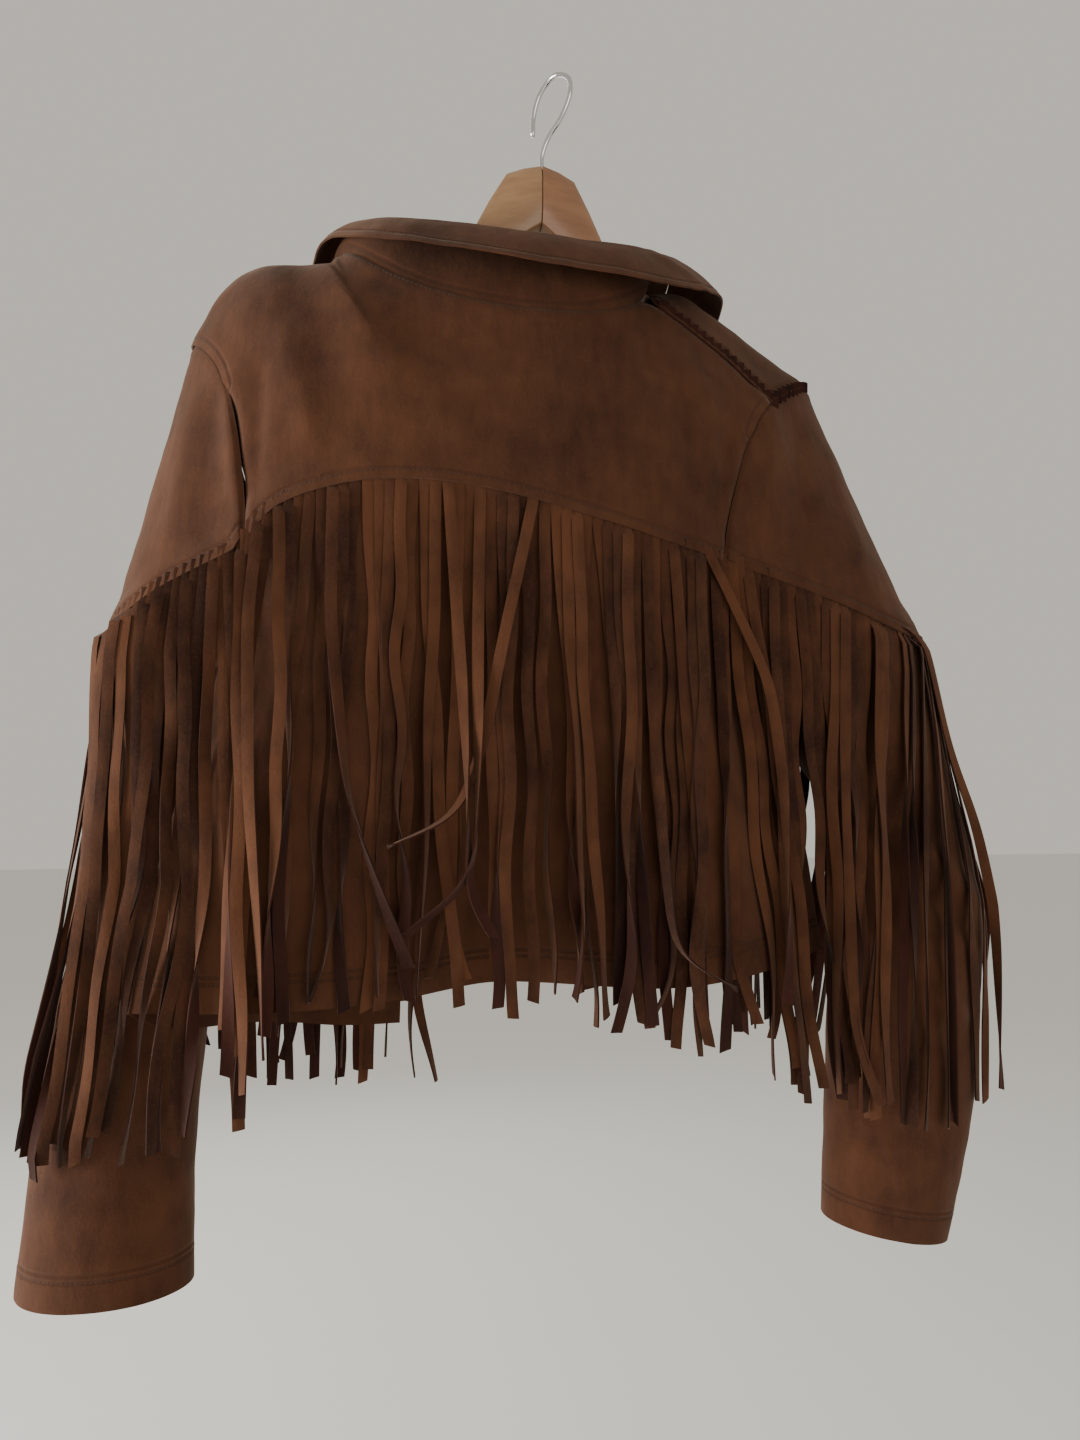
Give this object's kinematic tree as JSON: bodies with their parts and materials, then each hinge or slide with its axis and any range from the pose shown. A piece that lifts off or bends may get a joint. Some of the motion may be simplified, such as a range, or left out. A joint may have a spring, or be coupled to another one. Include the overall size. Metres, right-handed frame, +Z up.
{
  "type": "fringed buckskin jacket on a wooden hanger",
  "caption": "Cropped brown suede jacket with long cut fringe under the yokes and sleeve caps, hung on a wooden coat hanger with a wire hook.",
  "frame": {"origin": "Under the crown of the hook, where the wire rests on a rail or a nail.", "axes": "+X across the jacket towards the wearer's right side, +Y out of the jacket's front, +Z up along the hanging jacket"},
  "size_m": [0.6738, 0.1829, 0.819],
  "materials": {
    "jacket_suede": "matte brown suede, nap side out",
    "fringe_suede": "matte dark brown suede, cut into strands",
    "hanger_wood": "satin varnished light wood",
    "hook_chrome": "polished wire"
  },
  "bodies": {
    "root": {"back_yoke": "jacket_suede", "front_yoke_left": "jacket_suede", "front_yoke_right": "jacket_suede", "back_panel": "jacket_suede", "front_left": "jacket_suede", "front_right": "jacket_suede", "collar_stand": "jacket_suede", "collar_fall": "jacket_suede", "sleeve_left": "jacket_suede", "sleeve_cap_left": "jacket_suede", "sleeve_right": "jacket_suede", "sleeve_cap_right": "jacket_suede", "fringe_back": "fringe_suede", "fringe_front_left": "fringe_suede", "fringe_front_right": "fringe_suede", "fringe_sleeve_left": "fringe_suede", "fringe_sleeve_right": "fringe_suede", "hanger_arm_left": "hanger_wood", "hanger_arm_right": "hanger_wood", "hanger_hook": "hook_chrome"}
  },
  "joints": []
}
